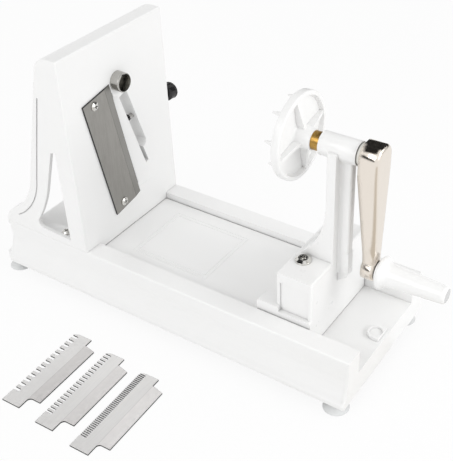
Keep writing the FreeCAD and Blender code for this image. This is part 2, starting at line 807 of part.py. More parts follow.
face = -face_x
flange_top = rail_top + flange_wall
stand = named_body("blade_stand")


def cheek_edge(shift_x, shift_z=0):
    """Rear edge of a cheek from the hood down to the toe, moved by an offset."""
    return [
        (face - hood_back + shift_x, stand_top - hood_drop - shift_z),
        (face - cheek_slope_x + shift_x, cheek_slope_z),
        (face - cheek_toe_x + shift_x, cheek_toe_z, -cheek_sweep),
    ]


hood_turn = [(face - hood_back, stand_top - hood_drop, 13.6)]
side = Outline(stand, "XZ_Plane")
side.path([
    (face, rail_top),
    (face, stand_top),
    (face - hood_depth + 3, stand_top),
] + hood_turn + cheek_edge(0)[1:] + [
    (face - stand_foot, rail_top, toe_round),
])
pad(stand, side, base_width, both=True)
stand_half = half_width.value
fillet(stand, edge_soft, lambda e: all(abs(abs(v.Y) - stand_half) < 1e-4 for v in e.Vertexes)
       and not all(abs(v.Z - rail_top.value) < 1e-4 for v in e.Vertexes))

# Hollow behind the face, first between the cheeks, then between their turned-in edges
hollow = Outline(stand, "XZ_Plane")
hollow.path([
    (face - face_wall, flange_top),
    (face - face_wall, stand_top - face_wall),
    (face - hood_depth + 1, stand_top - face_wall),
] + cheek_edge(cheek_wall + 0.2, 2) + [
    (face - stand_foot + cheek_wall + 2, flange_top, toe_round),
])
pocket(stand, hollow, base_width - 2 * cheek_wall, both=True)
rear = Outline(stand, "XZ_Plane")
rear.path([
    (face - face_wall - 6, flange_top),
    (face - face_wall - 6, stand_top - hood_drop - 3),
    (face - stand_foot - 5, stand_top - hood_drop - 3),
    (face - stand_foot - 5, flange_top),
])
pocket(stand, rear, base_width - 2 * cheek_wall - 2 * rear_flange, both=True)
gap_between = Outline(stand, "XZ_Plane")
gap_between.box(face - stand_foot - 5, face - face_wall, rail_top - 1, flange_top + 1)
pocket(stand, gap_between, 2 * half_channel, both=True)

# Face between the rails, down to the sliding plate
apron = Outline(stand, "YZ_Plane", offset=face - face_wall)
apron.box(-half_channel + 0.3, half_channel - 0.3, plate_top + 0.5, rail_top + 2)
pad(stand, apron, face_wall)

# Thickened seat of the main blade
seat = Outline(stand, "YZ_Plane", offset=face - face_wall - pad_depth,
               at=(blade_y, blade_z), turn=blade_turn)
seat.box(-blade_width / 2 - 2, blade_width / 2 + 3, 1 - blade_length / 2, blade_length / 2 - 1)
pad(stand, seat, pad_depth + 1)

# Side walls of the comb slot
walls = Outline(stand, "YZ_Plane", offset=face - slot_depth, at=(slot_y, slot_z), turn=slot_turn)
walls.box(-slot_width / 2 - slot_wall, slot_width / 2 + slot_wall,
          -slot_length / 2 - slit_length - slot_wall, slot_length / 2 + slot_wall)
pad(stand, walls, slot_depth - 1)

# Hub that carries the core tube
hub = Outline(stand, "YZ_Plane", offset=face - hub_depth)
hub.circle(0, axis_height, core_radius + 3)
pad(stand, hub, hub_depth - 1)
doc.recompute()

# Ramp that leads to the cutting edge
tan_blade = sine(blade_turn) / cosine(blade_turn)
tan_slot = sine(slot_turn) / cosine(slot_turn)


def blade_edge_y(height):
    rise = height - blade_z - blade_width / 2 * sine(blade_turn)
    return blade_y + blade_width / 2 * cosine(blade_turn) - rise * tan_blade


def slot_edge_y(height):
    return slot_y - slot_width / 2 / cosine(slot_turn) - (height - slot_z) * tan_slot


def ramp_section(height, depth):
    outline = Outline(stand, "XY_Plane", offset=height)
    outline.path([
        (face + 0.5, blade_edge_y(height) - 1),
        (face + 0.5, slot_edge_y(height) - 0.6),
        (face, slot_edge_y(height) - 0.6),
        (face - depth, blade_edge_y(height) + 0.9),
        (face - depth, blade_edge_y(height) - 1),
    ])
    return outline.finish()


ramp = stand.newObject("PartDesign::SubtractiveLoft", "ramp")
ramp.Profile = ramp_section(slot_z + slot_length / 2, ramp_depth)
ramp.Sections = [ramp_section(blade_z - blade_length / 2 + 8, ramp_depth / 12)]
ramp.Ruled = True
doc.recompute()

# Throat, comb slot, slit, core bore and screw holes in the face
throat = Outline(stand, "YZ_Plane", offset=face + 1, at=(blade_y, blade_z), turn=blade_turn)
throat.box(blade_width / 2 + 0.9 - throat_width, blade_width / 2 + 0.9,
           8 - blade_length / 2, blade_length / 2 - 8)
pocket(stand, throat, 12)
half_slot = slot_width / 2
slot = Outline(stand, "YZ_Plane", offset=face + 1, at=(slot_y, slot_z), turn=slot_turn)
slot.path([
    (-half_slot, half_slot - slot_length / 2),
    (half_slot, half_slot - slot_length / 2, half_slot * 1.01),
    (half_slot, slot_length / 2),
    (-half_slot, slot_length / 2),
])
pocket(stand, slot, slot_depth + 5)
slit = Outline(stand, "YZ_Plane", offset=face + 1, at=(slot_y, slot_z), turn=slot_turn)
slit.box(-half_slot, slit_width - half_slot, -slot_length / 2 - slit_length, half_slot - slot_length / 2)
pocket(stand, slit, slot_depth + 5)
core_bore = Outline(stand, "YZ_Plane", offset=face + 1)
core_bore.circle(0, axis_height, core_radius + plug_fit / 2)
pocket(stand, core_bore, core_back + 2)
blade_screw_reach = blade_length / 2 - blade_screw_inset
blade_pilots = Outline(stand, "YZ_Plane", offset=face + 1, at=(blade_y, blade_z), turn=blade_turn)
for end in (-1, 1):
    blade_pilots.circle(-blade_screw_side, blade_screw_reach * end, blade_screw_radius + plug_fit)
pocket(stand, blade_pilots, face_wall + pad_depth + 3)

# Openings in both cheeks and the groove along their rear edges
arch = Outline(stand, "XZ_Plane")
arch.path([
    (face - arch_front, arch_bottom),
    (face - arch_front, arch_top),
    (face - arch_front - 4.5, arch_top - 1.5),
    (face - arch_knee_x, arch_knee_z),
    (face - arch_rear, arch_bottom + 7.5, -150),
    (face - arch_rear + 4, arch_bottom + 1.5, 5),
])
pocket(stand, arch, base_width + 2, both=True)
for side_y in (-1, 1):
    band = Outline(stand, "XZ_Plane", offset=half_width * side_y)
    band.path([
        (face - groove_top_x, groove_top_z),
        (face - groove_knee_x, cheek_slope_z),
        (face - groove_toe_x, groove_toe_z, -cheek_sweep),
        (face - groove_toe_x + groove_width, groove_toe_z),
        (face - groove_knee_x + groove_width, cheek_slope_z, cheek_sweep),
        (face - groove_top_x + groove_width, groove_top_z),
    ])
    pocket(stand, band, 2 * groove_depth, both=True)

# Clamp screw's way in, and the flange's screw holes
clamp_spot_x = face - clamp_x
clamp_way = Outline(stand, "XZ_Plane", offset=-half_width - 1)
clamp_way.circle(clamp_spot_x, clamp_z, clamp_radius + running_fit)
pocket(stand, clamp_way, half_width + 1 - slot_y, back=True)
insert_way = Outline(stand, "XZ_Plane", offset=-half_width - 1)
insert_way.circle(clamp_spot_x, clamp_z, insert_radius + 0.02)
pocket(stand, insert_way, cheek_wall + 1.5, back=True)
flange_holes = Outline(stand, "XY_Plane", offset=flange_top + 1)
for screw_x in (face - stand_screw_front, face - stand_screw_rear):
    for side_y in (-1, 1):
        flange_holes.circle(screw_x, stand_screw_y * side_y, screw_radius + plug_fit)
pocket(stand, flange_holes, flange_wall + 2)
doc.recompute()


# Screws

def cross_screw(name, axis, seat_at, reach, shank, head, head_height, u, v, sign=1):
    """Pan head screw; sign is +1 where the head looks along the axis, -1 the other way."""
    seat_at = as_size(seat_at)
    reach = as_size(reach)
    head_height = as_size(head_height)
    shaft_start = seat_at - reach if sign > 0 else seat_at
    shaft_piece = rod(name, axis, shaft_start, reach, shank, u, v)
    rim = head_height * 0.45
    rim_start = seat_at if sign > 0 else seat_at - rim
    rim_piece = rod(name, axis, rim_start, rim, head, u, v)
    dome_start = seat_at + rim if sign > 0 else seat_at - head_height
    wide = head
    narrow = as_size(head) * 0.62
    ends = (wide, narrow) if sign > 0 else (narrow, wide)
    dome_piece = cone(name, axis, dome_start, head_height - rim, ends[0], ends[1], u, v)
    whole = fuse(name, shaft_piece, rim_piece, dome_piece)
    slot_half = as_size(head) * 0.11
    slot_long = as_size(head) * 0.5
    top = seat_at + head_height if sign > 0 else seat_at - head_height
    low = top - head_height * 0.55 * sign
    first, last = (low, top + 0.1) if sign > 0 else (top - 0.1, low)
    u, v = as_size(u), as_size(v)
    for wide_u, wide_v in ((slot_long, slot_half), (slot_half, slot_long)):
        spans = [(u - wide_u, u + wide_u), (v - wide_v, v + wide_v)]
        spans.insert({"x": 0, "y": 1, "z": 2}[axis], (first, last))
        bar = block(name, spans[0][0], spans[0][1], spans[1][0], spans[1][1],
                    spans[2][0], spans[2][1])
        whole = cut(name, whole, bar)
    return whole


screws = []
for screw_x in (face - stand_screw_front, face - stand_screw_rear):
    for side_y in (-1, 1):
        screws.append(cross_screw("stand_screw", "z", flange_top, screw_depth, screw_radius,
                                  3.6, 2.4, screw_x, stand_screw_y * side_y))
node("stand_screws", group("stand_screws", screws))

# Main blade with its ground edge, lying on the stand's face
blade = named_body("main_blade")
blade_section = Outline(blade, "XY_Plane")
blade_section.path([
    (0, -blade_width / 2),
    (blade_thick, -blade_width / 2),
    (blade_thick, blade_width / 2 - blade_bevel),
    (blade_thick * 0.2, blade_width / 2),
    (0, blade_width / 2),
])
pad(blade, blade_section, blade_length, both=True)
blade_holes = Outline(blade, "YZ_Plane", offset=2 * blade_thick)
for end in (-1, 1):
    blade_holes.circle(-blade_screw_side, blade_screw_reach * end, blade_screw_radius + plug_fit)
pocket(blade, blade_holes, 3 * blade_thick)
rise_to_core = axis_height - blade_z
notch_side = -blade_y * cosine(blade_turn) + rise_to_core * sine(blade_turn)
notch_up = blade_y * sine(blade_turn) + rise_to_core * cosine(blade_turn)
core_notch = Outline(blade, "YZ_Plane", offset=2 * blade_thick)
core_notch.circle(notch_side, notch_up, core_radius + 0.4)
pocket(blade, core_notch, 3 * blade_thick)
place(blade, face, blade_y, blade_z, X_DIR, blade_turn)

screws = []
for end in (-1, 1):
    along_y = -blade_screw_side * cosine(blade_turn) - blade_screw_reach * end * sine(blade_turn)
    along_z = -blade_screw_side * sine(blade_turn) + blade_screw_reach * end * cosine(blade_turn)
    screws.append(cross_screw("blade_screw", "x", face + blade_thick, 9, blade_screw_radius,
                              blade_head, 1.6, blade_y + along_y, blade_z + along_z))
node("main_blade_screws", group("main_blade_screws", screws))

# Core tube with a ground front edge
core = named_body("core_tube")
core_profile = Outline(core, "XY_Plane")
core_profile.path([
    (-core_back, core_radius - core_wall),
    (core_reach, core_radius - core_wall),
    (core_reach - 1, core_radius),
    (-core_back, core_radius),
])
revolve(core, core_profile)
place(core, face, 0, axis_height)


# Comb clamp: a pad in the slot, the screw, its insert and the knob

node("clamp_pad", rod("clamp_pad", "y", pad_start, pad_thick, pad_radius, clamp_spot_x, clamp_z))
knob_start = half_width + 2
stud_start = pad_start + pad_thick + slide_gap
node("clamp_screw", rod("clamp_screw", "y", stud_start, knob_start + knob_length - 2 - stud_start,
                        clamp_radius, clamp_spot_x, clamp_z))
insert_body = rod("clamp_insert", "y", half_width - cheek_wall, cheek_wall + 0.6, insert_radius,
                  clamp_spot_x, clamp_z)
insert_bore = rod("clamp_insert", "y", half_width - cheek_wall - 1, cheek_wall + 3,
                  clamp_radius + running_fit, clamp_spot_x, clamp_z)
node("clamp_insert", cut("clamp_insert", insert_body, insert_bore))

knob = named_body("clamp_knob")
knob_profile = Outline(knob, "XY_Plane")
knob_profile.path([
    (clamp_radius + 0.02, 0),
    (knob_radius * 0.6, 0),
    (knob_radius - 0.5, 1),
    (knob_radius - 0.5, knob_length - 3),
    (knob_radius, knob_length - 2.4),
    (knob_radius - 2, knob_length, 2.2),
    (0, knob_length),
    (0, knob_length - 2 + 0.02),
    (clamp_radius + 0.02, knob_length - 2 + 0.02),
])
revolve(knob, knob_profile, "Y_Axis")
flute = Outline(knob, "XZ_Plane", offset=-knob_length - 1)
flute.circle(knob_radius + 0.55, 0, 1)
doc.recompute()
flute_cut = pocket(knob, flute, knob_length + 2, back=True)
ring_of(knob, [flute_cut], "Y_Axis", 18)
place(knob, clamp_spot_x, knob_start, clamp_z)
doc.recompute()


# Tower

tower = named_body("tower")
tower_right = tower_x + tower_block_length
half_tower = tower_width / 2
block_side = Outline(tower, "XZ_Plane")
block_side.path([
    (tower_x, plate_top),
    (tower_right, plate_top),
    (tower_right, tower_block_top),
    (tower_x, tower_block_top),
])
pad(tower, block_side, tower_width, both=True)
doc.recompute()
fillet(tower, flat_round, lambda e: along(e, Z_DIR)
       or (along(e, Y_DIR) and e.Vertexes[0].Z > tower_block_top.value - 0.01))
# Terrace along the long top edges
for side_y in (-1, 1):
    step = Outline(tower, "YZ_Plane", offset=tower_x - 1)
    inner = (half_tower - terrace) * side_y
    outer = (half_tower + 2) * side_y
    step.box(*(sorted([inner, outer], key=lambda n: n.value)
               + [tower_block_top - terrace_drop, tower_block_top + 2]))
    pocket(tower, step, tower_block_length + 2)
# Sunk panel in the front and rear of the block
for side_y in (-1, 1):
    panel = Outline(tower, "XZ_Plane", offset=half_tower * side_y)
    panel.path([
        (tower_x + panel_inset, plate_top + base_ledge),
        (tower_right - panel_inset, plate_top + base_ledge),
        (tower_right - panel_inset, tower_block_top - panel_drop),
        (tower_x + panel_inset, tower_block_top - panel_drop),
    ])
    pocket(tower, panel, 2 * panel_depth, both=True)
# Ledges along both sides, longer and higher to the left of the block
ledge_out = half_channel - side_gap - 0.2
foot_ledge = Outline(tower, "XZ_Plane")
foot_ledge.path([
    (tower_x - 1, plate_top),
    (tower_right, plate_top),
    (tower_right, plate_top + base_ledge - 1.5),
    (tower_right - 1.5, plate_top + base_ledge, 1.5),
    (tower_x - 1, plate_top + base_ledge),
])
pad(tower, foot_ledge, 2 * ledge_out, both=True)
long_ledge = Outline(tower, "XZ_Plane")
long_ledge.path([
    (tower_x - ledge_reach, plate_top),
    (tower_x + 3, plate_top),
    (tower_x + 3, plate_top + ledge_height),
    (tower_x - ledge_reach + 2, plate_top + ledge_height),
    (tower_x - ledge_reach, plate_top + ledge_height - 2, 2),
])
pad(tower, long_ledge, 2 * ledge_out, both=True)
between = Outline(tower, "XZ_Plane")
between.box(tower_x - ledge_reach - 1, tower_x, plate_top - 1, plate_top + ledge_height + 1)
pocket(tower, between, 2 * (ledge_out - ledge_width), both=True)
# Column: a flange that faces the wheel and a web behind it
column = Outline(tower, "XY_Plane", offset=tower_block_top - 12)
flange_back = column_x + column_flange
column_back = column_x + column_depth
half_flange = column_width / 2
half_web = column_web / 2
column.path([
    (column_x + 1.5, -half_flange, 1.5),
    (flange_back, -half_flange),
    (flange_back, -half_web - 2),
    (flange_back + 2, -half_web, -2),
    (column_back - 2, -half_web),
    (column_back, 2 - half_web, 2),
    (column_back, half_web - 2),
    (column_back - 2, half_web, 2),
    (flange_back + 2, half_web),
    (flange_back, half_web + 2, -2),
    (flange_back, half_flange),
    (column_x + 1.5, half_flange),
    (column_x, half_flange - 1.5, 1.5),
    (column_x, 1.5 - half_flange),
])
pad(tower, column, axis_height - tower_block_top + 12)
web_foot = Outline(tower, "XZ_Plane")
web_foot.path([
    (column_x + 2, tower_block_top + 6),
    (column_x + 2, tower_block_top - web_drop - 6),
    (tower_right, tower_block_top - web_drop - 6),
    (column_back - 3, tower_block_top - web_drop - 1.5),
    (column_back, tower_block_top - web_drop + 2, 4),
    (column_back, tower_block_top + 6),
])
pad(tower, web_foot, column_web, both=True)
doc.recompute()
# The column's left side sweeps out onto the block between the two screws
flare_arc = (flare_reach * flare_reach + flare_rise * flare_rise) / (2 * flare_reach)
sweep = Outline(tower, "XZ_Plane")
sweep.path([
    (column_x + 2, tower_block_top - 2),
    (column_x + 2, tower_block_top + flare_rise),
    (column_x, tower_block_top + flare_rise),
    (column_x - flare_reach, tower_block_top, -flare_arc),
    (column_x - flare_reach, tower_block_top - 2),
])
pad(tower, sweep, column_width, both=True)
head_rooms = Outline(tower, "XY_Plane", offset=tower_block_top + flare_rise)
for side_y in (-1, 1):
    head_rooms.circle(tower_x + tower_screw_x, tower_screw_y * side_y, tower_head + 0.5)
pocket(tower, head_rooms, flare_rise)
# Bearing tube at the column's top
tube = Outline(tower, "YZ_Plane", offset=bearing_start)
tube.circle(0, axis_height, bearing_radius)
pad(tower, tube, bearing_length)
# Screw holes and the bore for the bushings
bolt_holes = Outline(tower, "XY_Plane", offset=tower_block_top + 1)
for side_y in (-1, 1):
    bolt_holes.circle(tower_x + tower_screw_x, tower_screw_y * side_y, screw_radius + plug_fit)
pocket(tower, bolt_holes, tower_block_top - plate_top + 3)
bearing_bore = Outline(tower, "YZ_Plane", offset=bearing_start + bearing_length + 1)
bearing_bore.circle(0, axis_height, bushing_radius)
pocket(tower, bearing_bore, bearing_length + 3)
doc.recompute()

# The plate's holes for the tower's screws
plate_holes = Outline(plate, "XY_Plane", offset=plate_top + 1)
for side_y in (-1, 1):
    plate_holes.circle(tower_x + tower_screw_x, tower_screw_y * side_y, screw_radius + plug_fit)
pocket(plate, plate_holes, plate_wall + 2)
doc.recompute()
screws = []
nuts = []
for side_y in (-1, 1):
    spot = (tower_x + tower_screw_x, tower_screw_y * side_y)
    screws.append(cross_screw("tower_screw", "z", tower_block_top,
                              tower_block_top - plate_top + plate_wall + nut_height + 1,
                              screw_radius, tower_head, 2.5, spot[0], spot[1]))
    nut = doc.addObject("Part::Prism", "tower_nut")
    nut.Polygon = 6
    tie(nut, "Circumradius", screw_radius * 2.1)
    tie(nut, "Height", nut_height)
    place(nut, spot[0], spot[1], plate_top - plate_wall - nut_height)
    nut_bore = rod("tower_nut", "z", plate_top - plate_wall - nut_height - 1, nut_height + 2,
                   screw_radius + 0.02, spot[0], spot[1])
    nuts.append(cut("tower_nut", nut, nut_bore))
node("tower_screws", group("tower_screws", screws))
node("tower_nuts", group("tower_nuts", nuts))


# Crank shaft, bushings, washer and knurled collar

bushings = []
for start in (bearing_start + 0.4, bearing_start + bearing_length - bushing_length - 0.4):
    outer = rod("bushing", "x", start, bushing_length, bushing_radius - 0.02, 0, axis_height)
    inner = rod("bushing", "x", start - 1, bushing_length + 2, shaft_radius + running_fit,
                0, axis_height)
    bushings.append(cut("bushing", outer, inner))
node("shaft_bushings", group("shaft_bushings", bushings))

shaft_start = wheel_x + wheel_web
shaft = rod("crank_shaft", "x", shaft_start, arm_x + arm_bore - shaft_start, shaft_radius,
            0, axis_height)
tapped = rod("crank_shaft", "x", shaft_start - 1, 12, screw_radius + 0.05, 0, axis_height)
node("crank_shaft", cut("crank_shaft", shaft, tapped))

collar_start = wheel_x + hub_length
collar_outer = rod("knurled_collar", "x", collar_start, collar_length, collar_radius,
                   0, axis_height)
collar_inner = rod("knurled_collar", "x", collar_start - 1, collar_length + 2,
                   shaft_radius + 0.02, 0, axis_height)
node("knurled_collar", cut("knurled_collar", collar_outer, collar_inner))

washer_start = bearing_start + bearing_length + slide_gap
washer_outer = rod("thrust_washer", "x", washer_start, arm_x - washer_start, bearing_radius - 1,
                   0, axis_height)
washer_inner = rod("thrust_washer", "x", washer_start - 1, arm_x - washer_start + 2,
                   shaft_radius + 0.02, 0, axis_height)
node("thrust_washer", cut("thrust_washer", washer_outer, washer_inner))

# Spiked wheel
wheel = named_body("spiked_wheel")
wheel_profile = Outline(wheel, "XY_Plane")
rim_inner = wheel_radius - wheel_rim_width
wheel_profile.path([
    (0, screw_radius + plug_fit),
    (0, wheel_radius - 1),
    (1, wheel_radius, -1),
    (wheel_rim - 1, wheel_radius),
    (wheel_rim, wheel_radius - 1, -1),
    (wheel_rim, rim_inner),
    (wheel_web, rim_inner - 1),
    (wheel_web, hub_radius + 2),
    (wheel_web + 2, hub_radius, 2),
    (hub_length, hub_radius - 1),
    (hub_length, shaft_radius + 0.02),
    (wheel_web, shaft_radius + 0.02),
    (wheel_web, screw_radius + plug_fit),
])
revolve(wheel, wheel_profile)
doc.recompute()
rib_outline = Outline(wheel, "XY_Plane")
rib_outline.path([
    (wheel_web - 0.5, hub_radius - 1.5),
    (wheel_web - 0.5, rim_inner + 0.5),
    (wheel_rim - 0.4, rim_inner + 0.5),
    (hub_length * 0.62, hub_radius - 1.5),
])
wheel_rib_pad = pad(wheel, rib_outline, wheel_rib, both=True)
ring_of(wheel, [wheel_rib_pad], "X_Axis", 4)
doc.recompute()
spike = Outline(wheel, "YZ_Plane", offset=0.5)
spike.circle(spike_circle * cosine(as_size(22.5)), spike_circle * sine(as_size(22.5)),
             spike_radius)
spike_pad = pad(wheel, spike, spike_length + 0.5, back=True)
spike_pad.TaperAngle = -12
ring_of(wheel, [spike_pad], "X_Axis", spike_count)
place(wheel, wheel_x, 0, axis_height, X_DIR, wheel_turn)
doc.recompute()

node("wheel_screw", cross_screw("wheel_screw", "x", wheel_x, 12, screw_radius, 4.2, 2.6,
                                0, axis_height, -1))

# Crank arm
arm = named_body("crank_arm")
arm_face = Outline(arm, "YZ_Plane")
neck_z = -crank_radius + 9
arm_face.path([
    (arm_head, 1),
    (arm_head * 0.35, arm_top, 8.5),
    (arm_head * -0.35, arm_top),
    (-arm_head, 1, 8.5),
    (-arm_head, -9),
    (-arm_neck, neck_z),
    (-arm_neck, -crank_radius),
    (arm_neck, -crank_radius),
    (arm_neck, neck_z),
    (arm_head, -9),
])
pad(arm, arm_face, arm_depth)
eye = Outline(arm, "YZ_Plane")
eye.circle(0, -crank_radius, arm_eye)
pad(arm, eye, arm_depth)
doc.recompute()
taper = Outline(arm, "XZ_Plane")
taper.path([
    (-1, -12),
    (-1, -crank_radius - 20),
    (arm_depth - arm_tip_depth, -crank_radius - 20),
    (arm_depth - arm_tip_depth, -crank_radius + 14),
    (0, -12),
])
pocket(arm, taper, 4 * arm_head, both=True)
doc.recompute()
fillet(arm, arm_round, lambda e: all(abs(v.X - arm_depth.value) < 1e-4 for v in e.Vertexes))
shaft_hole = Outline(arm, "YZ_Plane", offset=-1)
shaft_hole.circle(0, 0, shaft_radius + 0.02)
pocket(arm, shaft_hole, arm_bore + 1, back=True)
eye_hole = Outline(arm, "YZ_Plane", offset=-1)
eye_hole.circle(0, -crank_radius, spindle_radius + 0.02)
pocket(arm, eye_hole, arm_depth + 2, back=True)
place(arm, arm_x, 0, axis_height)
doc.recompute()


# Handle

handle_z = axis_height - crank_radius
arm_out = arm_x + arm_depth
grip_start = arm_out + grip_gap
eye_in = arm_out - arm_tip_depth
spindle_end = grip_start + grip_length - cap_depth - 0.5
spindle = rod("handle_spindle", "x", eye_in - 0.2, spindle_end - eye_in + 0.2, spindle_radius,
              0, handle_z)
outer_head = rod("handle_spindle", "x", spindle_end - head_depth, head_depth,
                 spindle_radius + 1.4, 0, handle_z)
node("handle_spindle", fuse("handle_spindle", spindle, outer_head))
rivet = named_body("spindle_rivet")
rivet_radius = spindle_radius + 2
rivet_profile = Outline(rivet, "XY_Plane")
rivet_profile.path([
    (0, 0),
    (0, rivet_radius),
    (-0.8, rivet_radius),
    (-head_depth - 0.4, 1.5, 6),
    (-head_depth - 0.4, 0),
])
revolve(rivet, rivet_profile)
place(rivet, eye_in - 0.2, 0, handle_z)
grip = named_body("handle_grip")
counterbore = spindle_radius + 1.9
counter_start = grip_length - cap_depth - head_depth - 0.8
grip_profile = Outline(grip, "XY_Plane")
grip_profile.path([
    (0, spindle_radius + running_fit),
    (0, grip_root - 1),
    (1.6, grip_root - 1),
    (2.2, grip_flange - 1),
    (3.2, grip_flange, -1),
    (4.6, grip_flange),
    (6, grip_flange - 1.6, -2),
    (9.5, grip_root, 6),
    (grip_length - 3, grip_end),
    (grip_length, grip_end - 1.2, -3.5),
    (grip_length, counterbore),
    (counter_start, counterbore),
    (counter_start, spindle_radius + running_fit),
])
revolve(grip, grip_profile)
place(grip, grip_start, 0, handle_z)
node("grip_end_cap", rod("grip_end_cap", "x", grip_start + grip_length - cap_depth, cap_depth,
                         counterbore - 0.05, 0, handle_z))
doc.recompute()


# Loose comb blades lying in front of the base

def comb_blade(label, gaps, x, y, turn):
    comb = named_body(label)
    back = comb_strip + comb_body
    blank = Outline(comb, "XY_Plane")
    inner = 3
    blank.path([
        (0, 0),
        (comb_strip, 0),
        (comb_strip, comb_tail - inner),
        (comb_strip + inner, comb_tail, -inner),
        (back, comb_tail),
        (back, comb_tail + comb_body_length),
        (comb_strip, comb_tail + comb_body_length + 2.2),
        (comb_strip, comb_length),
        (3.6, comb_length),
        (0, comb_length - 1.8),
    ])
    pad(comb, blank, comb_thick)
    doc.recompute()
    pitch = comb_row / gaps
    gap = Outline(comb, "XY_Plane", offset=comb_thick + 1)
    low = comb_row_start + pitch * 0.25
    high = comb_row_start + pitch * 0.75
    gap.path([
        (-1, low),
        (tooth_depth - pitch * 0.25, low),
        (tooth_depth - pitch * 0.25, high, pitch * 0.252),
        (-1, high),
    ])
    gap_cut = pocket(comb, gap, comb_thick + 2)
    row_of(comb, [gap_cut], "Y_Axis", comb_row - pitch, gaps)
    place(comb, x, y, 0, Z_DIR, turn)
    doc.recompute()


comb_blade("comb_blade_coarse", 13, comb_x, comb_y, comb_turn)
comb_blade("comb_blade_medium", 20, comb_x + comb_pitch, comb_y + comb_shift, comb_turn)
comb_blade("comb_blade_fine", 40, comb_x + 2 * comb_pitch, comb_y + 2 * comb_shift, comb_turn)


# Check and write every piece

doc.recompute()
failed = [thing.Name for thing in doc.Objects if set(thing.State) & {"Invalid", "Error"}]
if failed:
    raise RuntimeError("failed: " + ", ".join(failed))
for thing in nodes:
    shape = thing.Shape
    if shape.isNull() or not shape.isValid() or not shape.Solids:
        raise RuntimeError("bad shape: " + thing.Label)
for thing in nodes:
    shape = thing.Shape
    box = shape.BoundBox
    print("%-20s solids %d volume %9.1f  x %.1f..%.1f y %.1f..%.1f z %.1f..%.1f" % (
        thing.Label, len(shape.Solids), shape.Volume,
        box.XMin, box.XMax, box.YMin, box.YMax, box.ZMin, box.ZMax))
    shape.exportStep("parts/%s.step" % thing.Label)
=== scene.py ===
import math

import bmesh
import bpy
from mathutils import Matrix, Vector


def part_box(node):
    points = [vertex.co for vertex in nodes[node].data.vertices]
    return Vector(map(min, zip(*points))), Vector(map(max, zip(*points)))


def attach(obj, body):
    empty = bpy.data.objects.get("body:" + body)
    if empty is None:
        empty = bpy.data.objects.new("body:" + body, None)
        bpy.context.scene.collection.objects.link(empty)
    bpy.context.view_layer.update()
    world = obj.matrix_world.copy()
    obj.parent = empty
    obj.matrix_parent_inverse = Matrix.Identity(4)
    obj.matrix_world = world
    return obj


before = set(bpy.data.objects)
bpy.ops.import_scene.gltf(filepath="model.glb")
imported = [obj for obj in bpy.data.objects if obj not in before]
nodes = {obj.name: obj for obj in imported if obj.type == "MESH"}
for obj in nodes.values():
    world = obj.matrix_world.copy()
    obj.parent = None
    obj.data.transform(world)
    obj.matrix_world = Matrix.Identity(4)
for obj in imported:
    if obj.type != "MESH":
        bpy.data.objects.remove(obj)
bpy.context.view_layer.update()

scene = bpy.context.scene
MM = 0.001


# Material building blocks

def new_material(name, colour, roughness, metallic=0.0):
    """A material whose shader has plain values; returns it with its node tree and shader."""
    material = bpy.data.materials.new(name)
    material.use_nodes = True
    tree = material.node_tree
    shader = tree.nodes["Principled BSDF"]
    shader.inputs["Base Color"].default_value = (*colour, 1)
    shader.inputs["Roughness"].default_value = roughness
    shader.inputs["Metallic"].default_value = metallic
    material.diffuse_color = (*colour, 1)
    return material, tree, shader


def coordinates(tree, output="Object", origin=(0, 0, 0), turn=0, stretch=(1, 1, 1)):
    """Object coordinates, measured from a point of the piece, turned about Z and stretched."""
    source = tree.nodes.new("ShaderNodeTexCoord")
    mapping = tree.nodes.new("ShaderNodeMapping")
    mapping.vector_type = "TEXTURE"
    mapping.inputs["Location"].default_value = origin
    mapping.inputs["Rotation"].default_value = (0, 0, turn)
    mapping.inputs["Scale"].default_value = tuple(1 / part for part in stretch)
    tree.links.new(source.outputs[output], mapping.inputs["Vector"])
    return mapping.outputs["Vector"]


def noise(tree, scale, stretch=(1, 1, 1), **settings):
    """A noise texture on Object coordinates, stretched along the piece's axes."""
    texture = tree.nodes.new("ShaderNodeTexNoise")
    tree.links.new(coordinates(tree, stretch=stretch), texture.inputs["Vector"])
    texture.inputs["Scale"].default_value = scale
    for key, value in settings.items():
        texture.inputs[key].default_value = value
    return texture


def ranged(tree, factor, window, low, high):
    """Maps a value from its window onto low to high."""
    node = tree.nodes.new("ShaderNodeMapRange")
    limits = {"From Min": window[0], "From Max": window[1], "To Min": low, "To Max": high}
    for key, value in limits.items():
        node.inputs[key].default_value = value
    tree.links.new(factor, node.inputs["Value"])
    return node.outputs["Result"]


def tinted(tree, factor, low, high, window=(0.3, 0.7)):
    """A colour between two by a texture's value."""
    ramp = tree.nodes.new("ShaderNodeValToRGB")
    for stop, place, colour in zip(ramp.color_ramp.elements, window, (low, high)):
        stop.position = place
        stop.color = (*colour, 1)
    tree.links.new(factor, ramp.inputs["Fac"])
    return ramp.outputs["Color"]


def laid_over(tree, factor, below, above):
    """One colour laid over another by a factor; each may be a socket or plain values."""
    mix = tree.nodes.new("ShaderNodeMixRGB")
    tree.links.new(factor, mix.inputs["Fac"])
    for socket, colour in ((mix.inputs["Color1"], below), (mix.inputs["Color2"], above)):
        if isinstance(colour, tuple):
            socket.default_value = (*colour, 1)
        else:
            tree.links.new(colour, socket)
    return mix.outputs["Color"]


def relief(tree, shader, height, strength, distance, under=None):
    """A bump on the shader; a coarser one may lie under it."""
    bump = tree.nodes.new("ShaderNodeBump")
    bump.inputs["Strength"].default_value = strength
    bump.inputs["Distance"].default_value = distance
    tree.links.new(height, bump.inputs["Height"])
    if under:
        tree.links.new(under.outputs["Normal"], bump.inputs["Normal"])
    tree.links.new(bump.outputs["Normal"], shader.inputs["Normal"])
    return bump


